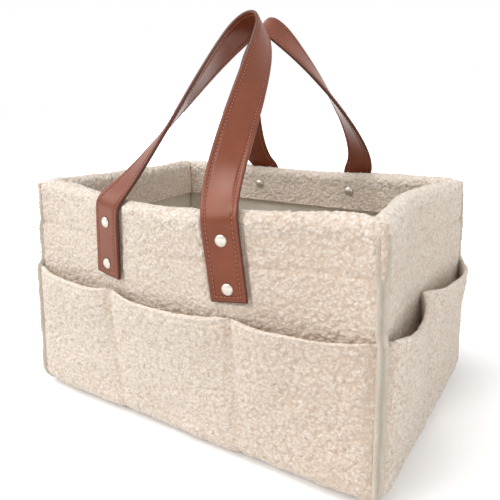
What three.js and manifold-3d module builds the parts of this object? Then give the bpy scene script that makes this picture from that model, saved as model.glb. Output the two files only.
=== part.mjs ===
// A soft nursery caddy. Pile cloth walls are turned over stiffening boards and a lining,
// with outside pockets, bound corner seams, two riveted strap handles and two dividers
// that hook to the lining. Millimetres, +Z up. The origin is the middle of the base, on
// the surface that the caddy stands on.
import * as THREE from "three";
import { mergeVertices } from "three/addons/utils/BufferGeometryUtils.js";
import Module from "manifold-3d";

const wasm = await Module();
wasm.setup();

// Body, measured over the pile cloth of the walls at the corners
const bodyLength = 324;
const bodyDepth = 220;
const wallHeight = 193;

// Shape of the soft walls: how far each leaves the straight in the middle of its rim, how far
// its rim hangs there, and how full the walls are below the rim
const frontSwell = 22;
const backSwell = 8;
const endDip = 11;
const frontSag = 6;
const backSag = 3;
const wallFullness = 0.5;

// Layers of a wall, from the outside in
const pileThickness = 6;
const boardThickness = 3;
const liningThickness = 1.5;
const facingThickness = 5;
const facingDepth = 38;
const layerGap = 0.3;
const mitreGap = 0.4;

// Pockets. Each bay is full towards its seams, flares towards its mouth and sags as it gapes.
// The gapes of a wall's bays run from its left to its right, seen from outside.
const pocketHeight = 117;
const pocketThickness = 4.5;
const middleBayLength = 116;
const frontGapes = [10, 7, 9];
const backGapes = [10, 8, 10];
const endGapes = [11, 11];
const sagPerGape = 0.4;
const bayFullness = 3;
const mouthFlare = 1.2;

// Foot of the walls and the base
const footRadius = 12;
const baseCoverThickness = 2.5;
const baseBoardThickness = 3;
const basePadThickness = 5;
const baseLiningThickness = 1.5;
const baseCornerRadius = 20;
const baseLiningCornerRadius = 6;

// Bound corner seams: tape in two ribs with a groove between them, drawn in at the foot
const cornerSize = 5;
const seamProud = 3;
const seamEdgeProud = 1;
const seamGrooveDepth = 0.5;
const ribPeakShare = 0.55;
const seamTopDrop = 3;
const seamFootAngle = 64;
const seamLeastShare = 0.2;

// Strap handles
const strapWidth = 28;
const strapThickness = 3;
const strapEdgeChamfer = 0.8;
const strapGap = 0.5;
const strapSpacing = 105;
const strapSplay = 5;
const strapAbovePocket = 11;
const hingeDrop = 3;
const handleRise = 145;
const rootShare = 0.2;
const twistShare = 0.82;

// The two handles hang a little differently: the front one leans further in and its legs
// are drawn together. Lengths are in the plane of the loop.
const handlePostures = {
  front: {
    crownToMiddle: 5,
    crownShift: 6,
    crownHalfWidth: 27,
    shoulderHalfWidth: 31,
    shoulderShare: 0.19,
  },
  back: {
    crownToMiddle: 24,
    crownShift: 2,
    crownHalfWidth: 17,
    shoulderHalfWidth: 86,
    shoulderShare: 0.2,
  },
};

// Rivets, two at each strap end: one near its cut end and one near the rim
const rivetEndDistance = 10;
const rivetRimDistance = 11;
const rivetCapRadius = 4;
const rivetCapHeight = 2.2;
const rivetCapEdge = 0.66;
const rivetPostRadius = 1.6;
const rivetClearance = 0.3;
const rivetSocketDepth = 1.4;

// Movable dividers
const dividerSpacing = 108;
const dividerThickness = 6;
const dividerTop = 120;
const dividerOutwardTravel = 15;
const dividerClearance = 0.6;
const flapLength = 24;
const flapThickness = 2;
const flapMargin = 12;
const hookThickness = 1;

// Where each layer of a wall starts, counted inwards from the face of its pile cloth
const boardFace = pileThickness + layerGap;
const liningFace = boardFace + boardThickness + layerGap;
const innerFace = liningFace + liningThickness;
const facingFace = innerFace + layerGap;
const rimThickness = facingFace + facingThickness;
const rimRadius = rimThickness / 2;
const rimSpring = wallHeight - rimRadius;
const foldRadius = (facingFace - pileThickness) / 2;

// The pocket wraps the foot of the wall, so both turn about one centre
const pocketInnerRadius = footRadius + layerGap;
const pocketOuterRadius = pocketInnerRadius + pocketThickness;
const footCentreHeight = pocketOuterRadius;

// Heights of the base layers
const baseInset = footRadius + layerGap;
const baseBoardFloor = baseCoverThickness + layerGap;
const basePadFloor = baseBoardFloor + baseBoardThickness + layerGap;
const baseLiningFloor = basePadFloor + basePadThickness + layerGap;
const insideFloor = baseLiningFloor + baseLiningThickness;

// The strap ends just above the pocket and leaves the wall just under the top of the rim
const strapOuterFace = strapGap + strapThickness;
const strapEndHeight = pocketHeight + strapAbovePocket;
const strapSlope = Math.tan(THREE.MathUtils.degToRad(strapSplay));
const hingeHeight = wallHeight - hingeDrop;
const rivetLowerHeight = strapEndHeight + rivetEndDistance;
const rivetUpperHeight = rimSpring - rivetRimDistance;

// Facets, and the steps that slopes and shared vertices are measured by
const baySteps = 5;
const pocketLevels = 3;
const rimArcSteps = 6;
const foldArcSteps = 3;
const footArcSteps = 4;
const ribSteps = 5;
const baseCornerSteps = 5;
const tabSteps = 4;
const legSteps = 15;
const domeSteps = 3;
const rivetSides = 10;
const cutterSides = 8;
const slopeStep = 0.5;
const mergeDistance = 1e-4;

const materials = {
  pile: cloth("pile", "#e2d0bc", 1.0),
  board: cloth("board", "#b9b2a6", 0.9),
  lining: cloth("lining", "#e9e2d6", 0.95),
  baseCloth: cloth("base cloth", "#bdb8b0", 0.95),
  foam: cloth("foam", "#e4e1da", 1.0),
  seam: cloth("seam tape", "#cdc8be", 0.9),
  strap: cloth("strap", "#8f5240", 0.45),
  hook: cloth("hook tape", "#d9d1c4", 0.9),
  rivet: new THREE.MeshStandardMaterial({
    name: "rivet",
    color: "#dcd8d0",
    roughness: 0.2,
    metalness: 1,
  }),
};

function cloth(name, color, roughness) {
  return new THREE.MeshStandardMaterial({ name, color, roughness, metalness: 0 });
}

// Each wall has its own frame: x along the wall, y inwards from the pile cloth, z up.
const walls = {
  front: wallFrame("front", bodyLength, frontSwell, frontSag, frontGapes),
  back: wallFrame("back", bodyLength, backSwell, backSag, backGapes),
  right: wallFrame("right", bodyDepth, -endDip, 0, endGapes),
  left: wallFrame("left", bodyDepth, -endDip, 0, endGapes),
};
placeWall(walls.front, 0, -bodyDepth / 2, 0);
placeWall(walls.back, 0, bodyDepth / 2, Math.PI);
placeWall(walls.right, bodyLength / 2, 0, Math.PI / 2);
placeWall(walls.left, -bodyLength / 2, 0, -Math.PI / 2);

function wallFrame(name, length, swell, sag, gapes) {
  const half = length / 2 - cornerSize - layerGap;
  const seam = middleBayLength / 2;
  const bayEnds = gapes.length === 3 ? [-half, -seam, seam, half] : [-half, 0, half];
  return { name, length, swell, sag, gapes, bayEnds, group: new THREE.Group() };
}

function placeWall({ group }, x, y, turn) {
  group.position.set(x, y, 0);
  group.rotation.z = turn;
}

// A wall's swell and sag die out before the corners and grow from the foot to the rim.
function wallPoint(wall, x, inset, z) {
  const reach = wall.length / 2 - rimThickness;
  const across = Math.max(0, 1 - (x / reach) ** 2) ** 2;
  const up = Math.max(0, (z - footCentreHeight) / (wallHeight - footCentreHeight));
  const swell = wall.swell * across * up * (1 + wallFullness * (1 - up));
  return new THREE.Vector3(x, inset - swell, z - wall.sag * across * up ** 2);
}

// Points of an arc in a section, from one angle to another in degrees
function arc(centreInset, centreHeight, radius, from, to, steps) {
  return Array.from({ length: steps + 1 }, (_, i) => {
    const angle = THREE.MathUtils.degToRad(from + ((to - from) * i) / steps);
    return new THREE.Vector2(
      centreInset + radius * Math.cos(angle),
      centreHeight + radius * Math.sin(angle),
    );
  });
}

function anticlockwise(section) {
  return THREE.ShapeUtils.area(section) < 0 ? [...section].reverse() : section;
}

// Closed skin through rings of points that all follow one flat section. Every facet is
// split the same way up, so that neighbouring layers keep their gap on a bent wall.
function loft(section, rings) {
  const count = section.length;
  const index = [];
  for (let i = 0; i + 1 < rings.length; i++) {
    for (let j = 0; j < count; j++) {
      const next = (j + 1) % count;
      const [a, b] = [i * count + j, i * count + next];
      const [c, d] = [a + count, b + count];
      const rising = section[next].y >= section[j].y;
      index.push(...(rising ? [a, b, d, a, d, c] : [a, b, c, b, d, c]));
    }
  }
  const last = (rings.length - 1) * count;
  for (const [a, b, c] of THREE.ShapeUtils.triangulateShape(section, [])) {
    index.push(c, b, a, last + a, last + b, last + c);
  }
  const geometry = new THREE.BufferGeometry().setFromPoints(rings.flat());
  geometry.setIndex(index);
  return geometry;
}

// Section (inset, height) carried along a wall. Its ends are mitred to meet the next wall.
function alongWall(wall, outline, shares, bend = (wallSpot) => wallSpot) {
  const section = anticlockwise(outline);
  const rings = shares.map((share) =>
    section.map(({ x: inset, y: height }) => {
      const end = Math.max(cornerSize + layerGap, inset + mitreGap);
      const spot = bend({ x: share * (wall.length / 2 - end), inset, height });
      return wallPoint(wall, spot.x, spot.inset, spot.height);
    }),
  );
  return loft(section, rings);
}

function evenShares(steps) {
  return Array.from({ length: steps + 1 }, (_, i) => (2 * i) / steps - 1);
}

// Shares of half a wall's length, even within each bay, so that facets end at the bay seams
function bayShares({ bayEnds }) {
  const half = bayEnds.at(-1);
  const shares = [-1];
  for (let bay = 0; bay + 1 < bayEnds.length; bay++) {
    for (let i = 1; i <= baySteps; i++) {
      shares.push(THREE.MathUtils.lerp(bayEnds[bay], bayEnds[bay + 1], i / baySteps) / half);
    }
  }
  return shares;
}

// Layers share these heights, so that their facets bend at the same places.
const hemHeight = pocketHeight - pocketThickness / 2;
const facingFloor = wallHeight - facingDepth;
const levels = [facingFloor];
for (let i = pocketLevels; i >= 0; i--) {
  levels.unshift(THREE.MathUtils.lerp(footCentreHeight, hemHeight, i / pocketLevels));
}

function levelsBetween(inset, z0, z1) {
  return levels.filter((z) => z > z0 && z < z1).map((z) => new THREE.Vector2(inset, z));
}

function sheetSection(inset0, inset1, z0, z1) {
  return [
    new THREE.Vector2(inset0, z0),
    new THREE.Vector2(inset1, z0),
    ...levelsBetween(inset1, z0, z1),
    new THREE.Vector2(inset1, z1),
    new THREE.Vector2(inset0, z1),
    ...levelsBetween(inset0, z0, z1).reverse(),
  ];
}

// Joins and cuts
function solidOf(geometry) {
  const bare = geometry.clone();
  for (const name of Object.keys(bare.attributes)) {
    if (name !== "position") bare.deleteAttribute(name);
  }
  const merged = mergeVertices(bare, mergeDistance);
  return new wasm.Manifold(
    new wasm.Mesh({
      numProp: 3,
      vertProperties: merged.attributes.position.array,
      triVerts: new Uint32Array(merged.index.array),
    }),
  );
}

function geometryOf(solid) {
  const { vertProperties, triVerts } = solid.getMesh();
  const geometry = new THREE.BufferGeometry();
  geometry.setAttribute("position", new THREE.BufferAttribute(vertProperties, 3));
  geometry.setIndex(new THREE.BufferAttribute(triVerts, 1));
  return geometry;
}

function drilled(geometry, cutters) {
  const bored = cutters.reduce((solid, cutter) => solid.subtract(solidOf(cutter)), solidOf(geometry));
  return geometryOf(bored);
}

function piece(parent, name, geometry, material) {
  const mesh = new THREE.Mesh(geometry, material);
  mesh.name = name;
  parent.add(mesh);
  return mesh;
}

// Pile cloth of one wall: curled under at the foot, up the outside, over the rim and
// down inside as a facing
function pileSection() {
  return [
    ...arc(footRadius, footCentreHeight, footRadius, 270, 180, footArcSteps),
    ...levelsBetween(0, footCentreHeight, rimSpring),
    ...arc(rimRadius, rimSpring, rimRadius, 180, 0, rimArcSteps),
    new THREE.Vector2(rimThickness, facingFloor),
    new THREE.Vector2(facingFace, facingFloor),
    ...arc(pileThickness + foldRadius, rimSpring, foldRadius, 0, 180, foldArcSteps),
    ...levelsBetween(pileThickness, footCentreHeight, rimSpring).reverse(),
    ...arc(footRadius, footCentreHeight, footRadius - pileThickness, 180, 270, footArcSteps),
  ];
}

// Pocket cloth of one wall: it wraps the foot and ends in a rolled hem
function pocketSection() {
  const hemRadius = pocketThickness / 2;
  const outside = -layerGap - pocketThickness;
  return [
    ...arc(footRadius, footCentreHeight, pocketOuterRadius, 270, 180, footArcSteps),
    ...levelsBetween(outside, footCentreHeight, hemHeight),
    ...arc(-layerGap - hemRadius, hemHeight, hemRadius, 180, 0, foldArcSteps),
    ...levelsBetween(-layerGap, footCentreHeight, hemHeight).reverse(),
    ...arc(footRadius, footCentreHeight, pocketInnerRadius, 180, 270, footArcSteps),
  ];
}

// A pocket is sewn flat at its ends and between its bays, and gapes and sags in each bay.
function pocketBend({ gapes, bayEnds }) {
  return ({ x, inset, height }) => {
    const later = bayEnds.findIndex((end, i) => i > 0 && x <= end + mergeDistance);
    const [from, to, gape] = [bayEnds[later - 1], bayEnds[later], gapes[later - 1]];
    const across = 1 - Math.abs((2 * (x - from)) / (to - from) - 1) ** bayFullness;
    const up = Math.max(0, (height - footCentreHeight) / (pocketHeight - footCentreHeight));
    return {
      x,
      inset: inset - gape * across * up ** mouthFlare,
      height: height - sagPerGape * gape * across * up,
    };
  };
}

// A strap hole or rivet stands square to the bowed wall, with its own y axis pointing out.
function squareToWall(wall, x, z) {
  const step = (dx, dz) => wallPoint(wall, x + dx, 0, z + dz);
  const along = step(slopeStep, 0).sub(step(-slopeStep, 0)).normalize();
  const up = step(0, slopeStep).sub(step(0, -slopeStep)).normalize();
  const out = along.clone().cross(up).normalize();
  const side = along.clone().cross(out);
  return new THREE.Matrix4()
    .makeBasis(along, out, side)
    .setPosition(wallPoint(wall, x, 0, z));
}

const strapSides = { left: -1, right: 1 };
const rivetRows = {
  lower: { height: rivetLowerHeight, innerFace },
  upper: { height: rivetUpperHeight, innerFace: rimThickness },
};

// The two ends of a handle spread apart below the rim.
function strapMiddle(sign, z) {
  return sign * (strapSpacing / 2 + strapSlope * (hingeHeight - z));
}

function rivetSpots(wall) {
  return Object.entries(strapSides).flatMap(([side, sign]) =>
    Object.entries(rivetRows).map(([row, { height, innerFace: face }]) => ({
      name: `${wall.name}_${side}_${row}`,
      face,
      frame: squareToWall(wall, strapMiddle(sign, height), height),
    })),
  );
}

// The cutters are centred on the face of the pile cloth and pass through strap and wall.
function rivetHoles(wall) {
  const length = 2 * (rimThickness + strapOuterFace);
  const radius = rivetPostRadius + rivetClearance;
  return rivetSpots(wall).map(({ frame }) =>
    new THREE.CylinderGeometry(radius, radius, length, cutterSides).applyMatrix4(frame),
  );
}

// Domed cap over an upright edge, from its seat at height y, as a profile that ends on the axis
function domeProfile(y, direction) {
  return Array.from({ length: domeSteps + 1 }, (_, i) => {
    const turn = ((Math.PI / 2) * i) / domeSteps;
    const rise = rivetCapEdge + (rivetCapHeight - rivetCapEdge) * Math.sin(turn);
    return new THREE.Vector2(rivetCapRadius * Math.cos(turn), y + direction * rise);
  });
}

// The post ends a layer gap short of the floor of its socket.
function rivetGeometry(face) {
  const capSeat = strapOuterFace + layerGap;
  const postEnd = -(face + rivetSocketDepth);
  return new THREE.LatheGeometry(
    [
      new THREE.Vector2(0, postEnd),
      new THREE.Vector2(rivetPostRadius, postEnd),
      new THREE.Vector2(rivetPostRadius, capSeat),
      new THREE.Vector2(rivetCapRadius, capSeat),
      ...domeProfile(capSeat, 1),
    ],
    rivetSides,
  );
}

function rivetInnerGeometry(face) {
  const capSeat = -(face + layerGap);
  const bore = rivetPostRadius + rivetClearance;
  const floor = capSeat - rivetSocketDepth;
  return new THREE.LatheGeometry(
    [
      ...domeProfile(capSeat, -1).reverse(),
      new THREE.Vector2(rivetCapRadius, capSeat),
      new THREE.Vector2(bore, capSeat),
      new THREE.Vector2(bore, floor),
      new THREE.Vector2(0, floor),
    ],
    rivetSides,
  );
}

function addRivets(wall) {
  for (const { name, face, frame } of rivetSpots(wall)) {
    const outer = piece(wall.group, `rivet_${name}`, rivetGeometry(face), materials.rivet);
    const inner = piece(wall.group, `rivet_inner_${name}`, rivetInnerGeometry(face), materials.rivet);
    outer.applyMatrix4(frame);
    inner.applyMatrix4(frame);
  }
}

// The riveted end of a strap, flat on the wall from its cut end, square to its own length, up
// to the bend at the rim, which is level
function strapTab(wall, sign) {
  const top = hingeHeight - layerGap / 2;
  const section = anticlockwise(sheetSection(-strapOuterFace, -strapGap, strapEndHeight, top));
  const rings = evenShares(tabSteps).map((share) =>
    section.map(({ x: inset, y: z }) => {
      const middle = strapMiddle(sign, z);
      const aside = (share * strapWidth) / 2;
      const spot = wallPoint(wall, middle + aside, inset, z);
      const square = sign * strapSlope * aside * ((top - z) / (top - strapEndHeight));
      return spot.setZ(wallPoint(wall, middle, inset, z).z + square);
    }),
  );
  return drilled(loft(section, rings), rivetHoles(wall));
}

// Section of the strap, width along x and thickness along y, with its edges eased
function strapSection() {
  const [w, t, c] = [strapWidth / 2, strapThickness / 2, strapEdgeChamfer];
  const corners = [
    [w, -t + c],
    [w, t - c],
    [w - c, t],
    [-w + c, t],
    [-w, t - c],
    [-w, -t + c],
    [-w + c, -t],
    [w - c, -t],
  ];
  return corners.map(([x, y]) => new THREE.Vector2(x, y));
}

// The free loop of a handle, in its wall's frame. It leans in over the rim. Each leg starts
// square to the bend at the rim and turns from flat on the wall to flat over the crown.
function handleLoop(wall, posture) {
  const { crownToMiddle, crownShift, crownHalfWidth, shoulderHalfWidth, shoulderShare } = posture;
  const hinge = wallPoint(wall, strapSpacing / 2, -strapOuterFace, hingeHeight);
  const reach = bodyDepth / 2 - crownToMiddle - hinge.y;
  const lean = Math.atan2(reach, handleRise);
  const height = Math.hypot(reach, handleRise);
  const up = new THREE.Vector3(0, Math.sin(lean), Math.cos(lean));
  const out = new THREE.Vector3(0, -Math.cos(lean), Math.sin(lean));
  const origin = new THREE.Vector3(0, hinge.y, hinge.z).addScaledVector(out, -strapThickness / 2);

  const half = strapSpacing / 2;
  const rootRise = (strapThickness * Math.sin(lean) + layerGap) / Math.cos(lean);
  const crown = new THREE.Vector2(crownShift, height);
  const leg = (sign) =>
    new THREE.CubicBezierCurve(
      new THREE.Vector2(sign * half, rootRise),
      new THREE.Vector2(sign * shoulderHalfWidth, height * shoulderShare),
      new THREE.Vector2(crownShift + sign * crownHalfWidth, height),
      crown,
    );
  const spots = [];
  for (const sign of [-1, 1]) {
    const curve = leg(sign);
    for (let i = 0; i <= legSteps; i++) {
      const t = sign < 0 ? i / legSteps : 1 - i / legSteps;
      if (sign > 0 && i === 0) continue;
      const settled = THREE.MathUtils.smoothstep(t, 0, rootShare);
      const tangent = new THREE.Vector2(0, 1).lerp(curve.getTangent(t), settled).normalize();
      spots.push({ at: curve.getPoint(t), tangent: tangent.multiplyScalar(-sign), t });
    }
  }
  const section = strapSection();
  const rings = spots.map(({ at, tangent, t }) => {
    const along = new THREE.Vector3(tangent.x, 0, 0).addScaledVector(up, tangent.y);
    const outward = new THREE.Vector3(-tangent.y, 0, 0).addScaledVector(up, tangent.x);
    const flat = (Math.PI / 2) * Math.max(0, 1 - t / twistShare);
    const face = outward.multiplyScalar(Math.cos(flat)).addScaledVector(out, Math.sin(flat));
    const across = face.clone().cross(along);
    const centre = origin.clone().addScaledVector(up, at.y);
    centre.x += at.x;
    return section.map(({ x, y }) =>
      centre.clone().addScaledVector(across, x).addScaledVector(face, y),
    );
  });
  return loft(section, rings);
}

function addHandle(wall) {
  for (const [side, sign] of Object.entries(strapSides)) {
    piece(wall.group, `${wall.name}_${side}_strap_end`, strapTab(wall, sign), materials.strap);
  }
  piece(wall.group, `${wall.name}_handle`, handleLoop(wall, handlePostures[wall.name]), materials.strap);
  addRivets(wall);
}

// One wall with its layers and pocket
function addWall(wall) {
  const holes = handlePostures[wall.name] ? rivetHoles(wall) : [];
  const shares = bayShares(wall);
  const boardFloor = footCentreHeight + layerGap;
  const board = sheetSection(boardFace, boardFace + boardThickness, boardFloor, rimSpring);
  const lining = sheetSection(liningFace, innerFace, insideFloor + layerGap, rimSpring);
  const layers = {
    panel: [drilled(alongWall(wall, pileSection(), shares), holes), materials.pile],
    board: [drilled(alongWall(wall, board, shares), holes), materials.board],
    lining: [drilled(alongWall(wall, lining, shares), holes), materials.lining],
    pocket: [alongWall(wall, pocketSection(), shares, pocketBend(wall)), materials.pile],
  };
  for (const [name, [geometry, material]] of Object.entries(layers)) {
    piece(wall.group, `${wall.name}_${name}`, geometry, material);
  }
}

// Section of the seam tape, folded over a corner at the origin. A curve's middle comes half
// way to its control point, so the control points lie twice as far out as the ribs.
function seamSection() {
  const peak = cornerSize * ribPeakShare;
  const shape = new THREE.Shape();
  shape.moveTo(cornerSize, cornerSize);
  shape.lineTo(cornerSize, -seamEdgeProud);
  shape.quadraticCurveTo(peak, -2 * seamProud, seamGrooveDepth, seamGrooveDepth);
  shape.quadraticCurveTo(-2 * seamProud, peak, -seamEdgeProud, cornerSize);
  return anticlockwise(shape.getPoints(ribSteps).slice(0, -1));
}

// The tape is drawn in as the foot of the walls curls under, and stands straight above it.
function cornerSeam() {
  const section = seamSection();
  const reach = cornerSize + seamProud;
  const ring = (z, curl) => {
    const keep = Math.max(seamLeastShare, 1 - curl / reach);
    const drawnIn = (value) => cornerSize - (cornerSize - value) * keep;
    return section.map(({ x, y }) => new THREE.Vector3(drawnIn(x), drawnIn(y), z));
  };
  const rings = [ring(wallHeight - seamTopDrop, 0)];
  for (let i = 0; i < footArcSteps; i++) {
    const turn = THREE.MathUtils.degToRad((seamFootAngle * i) / (footArcSteps - 1));
    const drop = pocketOuterRadius * Math.sin(turn);
    rings.unshift(ring(footCentreHeight - drop, pocketOuterRadius * (1 - Math.cos(turn))));
  }
  return loft(section, rings);
}

function addCornerSeams(caddy) {
  const corners = {
    front_left: [-1, -1, 0],
    front_right: [1, -1, Math.PI / 2],
    back_right: [1, 1, Math.PI],
    back_left: [-1, 1, -Math.PI / 2],
  };
  for (const [name, [x, y, turn]] of Object.entries(corners)) {
    const seam = piece(caddy, `${name}_corner_seam`, cornerSeam(), materials.seam);
    seam.position.set((x * bodyLength) / 2, (y * bodyDepth) / 2, 0);
    seam.rotation.z = turn;
  }
}

// Rounded sheet of the base, inset from the faces of the walls
function baseSheet(inset, radius, floor, thickness) {
  const [w, d] = [bodyLength / 2 - inset, bodyDepth / 2 - inset];
  const shape = new THREE.Shape();
  shape.absarc(w - radius, d - radius, radius, 0, Math.PI / 2);
  shape.absarc(-w + radius, d - radius, radius, Math.PI / 2, Math.PI);
  shape.absarc(-w + radius, -d + radius, radius, Math.PI, 1.5 * Math.PI);
  shape.absarc(w - radius, -d + radius, radius, 1.5 * Math.PI, 2 * Math.PI);
  const geometry = new THREE.ExtrudeGeometry(shape, {
    depth: thickness,
    bevelEnabled: false,
    curveSegments: baseCornerSteps,
  });
  return geometry.translate(0, 0, floor);
}

function addBase(caddy) {
  const cover = baseSheet(baseInset, baseCornerRadius, 0, baseCoverThickness);
  const board = baseSheet(baseInset, baseCornerRadius, baseBoardFloor, baseBoardThickness);
  const pad = baseSheet(baseInset, baseCornerRadius, basePadFloor, basePadThickness);
  const liningInset = liningFace + mitreGap;
  const lining = baseSheet(liningInset, baseLiningCornerRadius, baseLiningFloor, baseLiningThickness);
  piece(caddy, "base_cover", cover, materials.baseCloth);
  piece(caddy, "base_board", board, materials.board);
  piece(caddy, "base_pad", pad, materials.foam);
  piece(caddy, "base_lining", lining, materials.lining);
}

// Edge of a divider beside a long wall. Its flaps stay clear of the lining as far out as
// it travels.
function dividerEdge(wall, spare, z) {
  const flapEnd = dividerThickness / 2 + flapLength;
  const outermost = dividerSpacing / 2 + dividerOutwardTravel + flapEnd;
  return wallPoint(wall, outermost, innerFace + dividerClearance + spare, z).y - bodyDepth / 2;
}

// Upright plate between two distances from the long walls, drawn in y and z and extruded in x
function uprightPlate(corners, from, to) {
  const shape = new THREE.Shape(corners.map(([y, z]) => new THREE.Vector2(y, z)));
  const geometry = new THREE.ExtrudeGeometry(shape, { depth: to - from, bevelEnabled: false });
  geometry.rotateX(Math.PI / 2).rotateZ(Math.PI / 2);
  return geometry.translate(from, 0, 0);
}

function edgeStrip(wall, sign, outer, inner, z0, z1) {
  return [
    [outer, z0],
    [inner, z0],
    [inner, z1],
    [outer, z1],
  ].map(([spare, z]) => [sign * dividerEdge(wall, spare, z), z]);
}

function addDivider(caddy, side, sign) {
  const floor = insideFloor + layerGap;
  const hookSpare = hookThickness + layerGap;
  const flapFrom = (sign * dividerThickness) / 2;
  const flapTo = flapFrom + sign * flapLength;
  const [flapLow, flapHigh] = [floor + flapMargin, dividerTop - flapMargin];
  const ends = { front: [walls.front, 1], back: [walls.back, -1] };

  const outline = [
    [dividerEdge(walls.front, hookSpare, floor), floor],
    [-dividerEdge(walls.back, hookSpare, floor), floor],
    [-dividerEdge(walls.back, hookSpare, dividerTop), dividerTop],
    [dividerEdge(walls.front, hookSpare, dividerTop), dividerTop],
  ];
  let divider = solidOf(uprightPlate(outline, -dividerThickness / 2, dividerThickness / 2));
  const group = new THREE.Group();
  group.position.x = (sign * dividerSpacing) / 2;
  for (const [end, [wall, turn]] of Object.entries(ends)) {
    const flap = edgeStrip(wall, turn, hookSpare, hookSpare + flapThickness, flapLow, flapHigh);
    const hook = edgeStrip(wall, turn, 0, hookThickness, flapLow, flapHigh);
    const [low, high] = [Math.min(0, flapTo), Math.max(0, flapTo)];
    divider = divider.add(solidOf(uprightPlate(flap, low, high)));
    piece(group, `${side}_divider_hook_${end}`, uprightPlate(hook, low, high), materials.hook);
  }
  piece(group, `${side}_divider`, geometryOf(divider), materials.lining);
  caddy.add(group);
}

const caddy = new THREE.Group();
for (const wall of Object.values(walls)) {
  addWall(wall);
  caddy.add(wall.group);
}
addHandle(walls.front);
addHandle(walls.back);
addCornerSeams(caddy);
addBase(caddy);
for (const [side, sign] of Object.entries(strapSides)) {
  addDivider(caddy, side, sign);
}

export default caddy;
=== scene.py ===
import math

import bpy
import numpy as np
from mathutils import Matrix, Vector


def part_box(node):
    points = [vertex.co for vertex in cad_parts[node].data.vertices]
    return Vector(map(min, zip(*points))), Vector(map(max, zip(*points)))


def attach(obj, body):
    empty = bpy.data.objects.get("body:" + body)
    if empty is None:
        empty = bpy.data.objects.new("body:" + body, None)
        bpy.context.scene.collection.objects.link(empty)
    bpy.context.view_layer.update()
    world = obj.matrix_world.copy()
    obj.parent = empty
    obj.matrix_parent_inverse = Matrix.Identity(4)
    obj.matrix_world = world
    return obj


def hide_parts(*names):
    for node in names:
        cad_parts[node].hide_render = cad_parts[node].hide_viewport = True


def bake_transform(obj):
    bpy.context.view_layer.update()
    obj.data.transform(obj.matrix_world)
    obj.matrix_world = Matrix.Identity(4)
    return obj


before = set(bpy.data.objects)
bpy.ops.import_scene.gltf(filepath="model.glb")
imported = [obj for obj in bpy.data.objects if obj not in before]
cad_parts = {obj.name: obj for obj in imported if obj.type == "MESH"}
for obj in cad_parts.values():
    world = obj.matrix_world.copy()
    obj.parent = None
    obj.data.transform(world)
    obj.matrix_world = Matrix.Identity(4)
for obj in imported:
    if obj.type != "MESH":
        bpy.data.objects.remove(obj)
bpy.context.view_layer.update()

# A soft nursery caddy: curly pile walls and pockets over boards, bound corner seams, stitched
# strap handles with domed rivets, a woven lining and two padded dividers. Metres throughout.
MM = 0.001

# Sizes of the construction that the soft pieces are draped on
BODY_LENGTH = 324 * MM
BODY_DEPTH = 220 * MM
WALL_HEIGHT = 193 * MM
FRONT_SWELL = 22 * MM
BACK_SWELL = 8 * MM
END_DIP = 11 * MM
FRONT_SAG = 6 * MM
BACK_SAG = 3 * MM
WALL_FULLNESS = 0.5
PILE = 6 * MM
LINING_FACE = 9.6 * MM
LINING = 1.5 * MM
FACING_FACE = 11.4 * MM
RIM_THICKNESS = 16.4 * MM
FACING_DEPTH = 38 * MM
POCKET_HEIGHT = 117 * MM
POCKET = 4.5 * MM
MIDDLE_BAY = 116 * MM
GAPES = {"front": (10, 7, 9), "back": (10, 8, 10), "right": (11, 11), "left": (11, 11)}
SAG_PER_GAPE = 0.4
FOOT_RADIUS = 12 * MM
CORNER = 5 * MM
GAP = 0.3 * MM
MITRE_GAP = 0.4 * MM
SEAM_PROUD = 3 * MM
TAPE_LAP = 1 * MM
MITRE_LAP = 0.9 * MM
STRAP_WIDTH = 28 * MM
STRAP = 3 * MM
STRAP_GAP = 0.5 * MM
STRAP_SPACING = 105 * MM
STRAP_SLOPE = math.tan(math.radians(5))
STRAP_END = 128 * MM
HINGE_HEIGHT = 190 * MM
HANDLE_RISE = 145 * MM
RIVET_HEIGHTS = {"lower": 138 * MM, "upper": 173.8 * MM}

RIM_RADIUS = RIM_THICKNESS / 2
RIM_SPRING = WALL_HEIGHT - RIM_RADIUS
FACING_FLOOR = WALL_HEIGHT - FACING_DEPTH
INNER_FACE = LINING_FACE + LINING
POCKET_RADIUS = FOOT_RADIUS + GAP + POCKET
FOOT_CENTRE = POCKET_RADIUS
STRAP_FACE = STRAP_GAP + STRAP
SIDES = {"left": -1, "right": 1}
CORNERS = {"front_left": (-1, -1), "front_right": (1, -1), "back_right": (1, 1), "back_left": (-1, 1)}

# The curly pile: spacing of its clumps, how far they stand up and how finely they are meshed
CLUMP = 3.3 * MM
FINE_CLUMP = 0.6 * CLUMP
FINE_SHARE = 0.4
DOME_REACH = 0.6
LOWEST_DOME = 0.45
CURL = 2.3 * MM
CURL_WANDER = 1.1 * MM
WANDER_PITCH = 2.4 * MM
PILE_RELIEF = 2 * MM
PILE_SINK = 1.2 * MM
PILE_STEP = 0.95 * MM
TINY = 1e-12


def smoothstep(low, high, value):
    t = np.clip((value - low) / (high - low), 0, 1)
    return t * t * (3 - 2 * t)


def bump(value, width):
    """1 at zero, falling off to nothing about two widths away."""
    return np.exp(-((value / width) ** 2))


def unit(vectors):
    """The same vectors at length 1."""
    return vectors / np.maximum(np.linalg.norm(vectors, axis=-1, keepdims=True), TINY)


# Noise over flat cloth, all of it seeded
def lattice(u, v, pitch, seed, depth):
    """Cell of each point, the place in it, and a lookup of random values by cell."""
    gu, gv = np.asarray(u) / pitch, np.asarray(v) / pitch
    iu, iv = np.floor(gu).astype(int), np.floor(gv).astype(int)
    low_u, low_v = iu.min() - 1, iv.min() - 1
    shape = (iu.max() - low_u + 3, iv.max() - low_v + 3, depth)
    table = np.random.default_rng(seed).random(shape)

    def lookup(du, dv):
        return table[iu + du - low_u, iv + dv - low_v]

    return gu - iu, gv - iv, lookup


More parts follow.
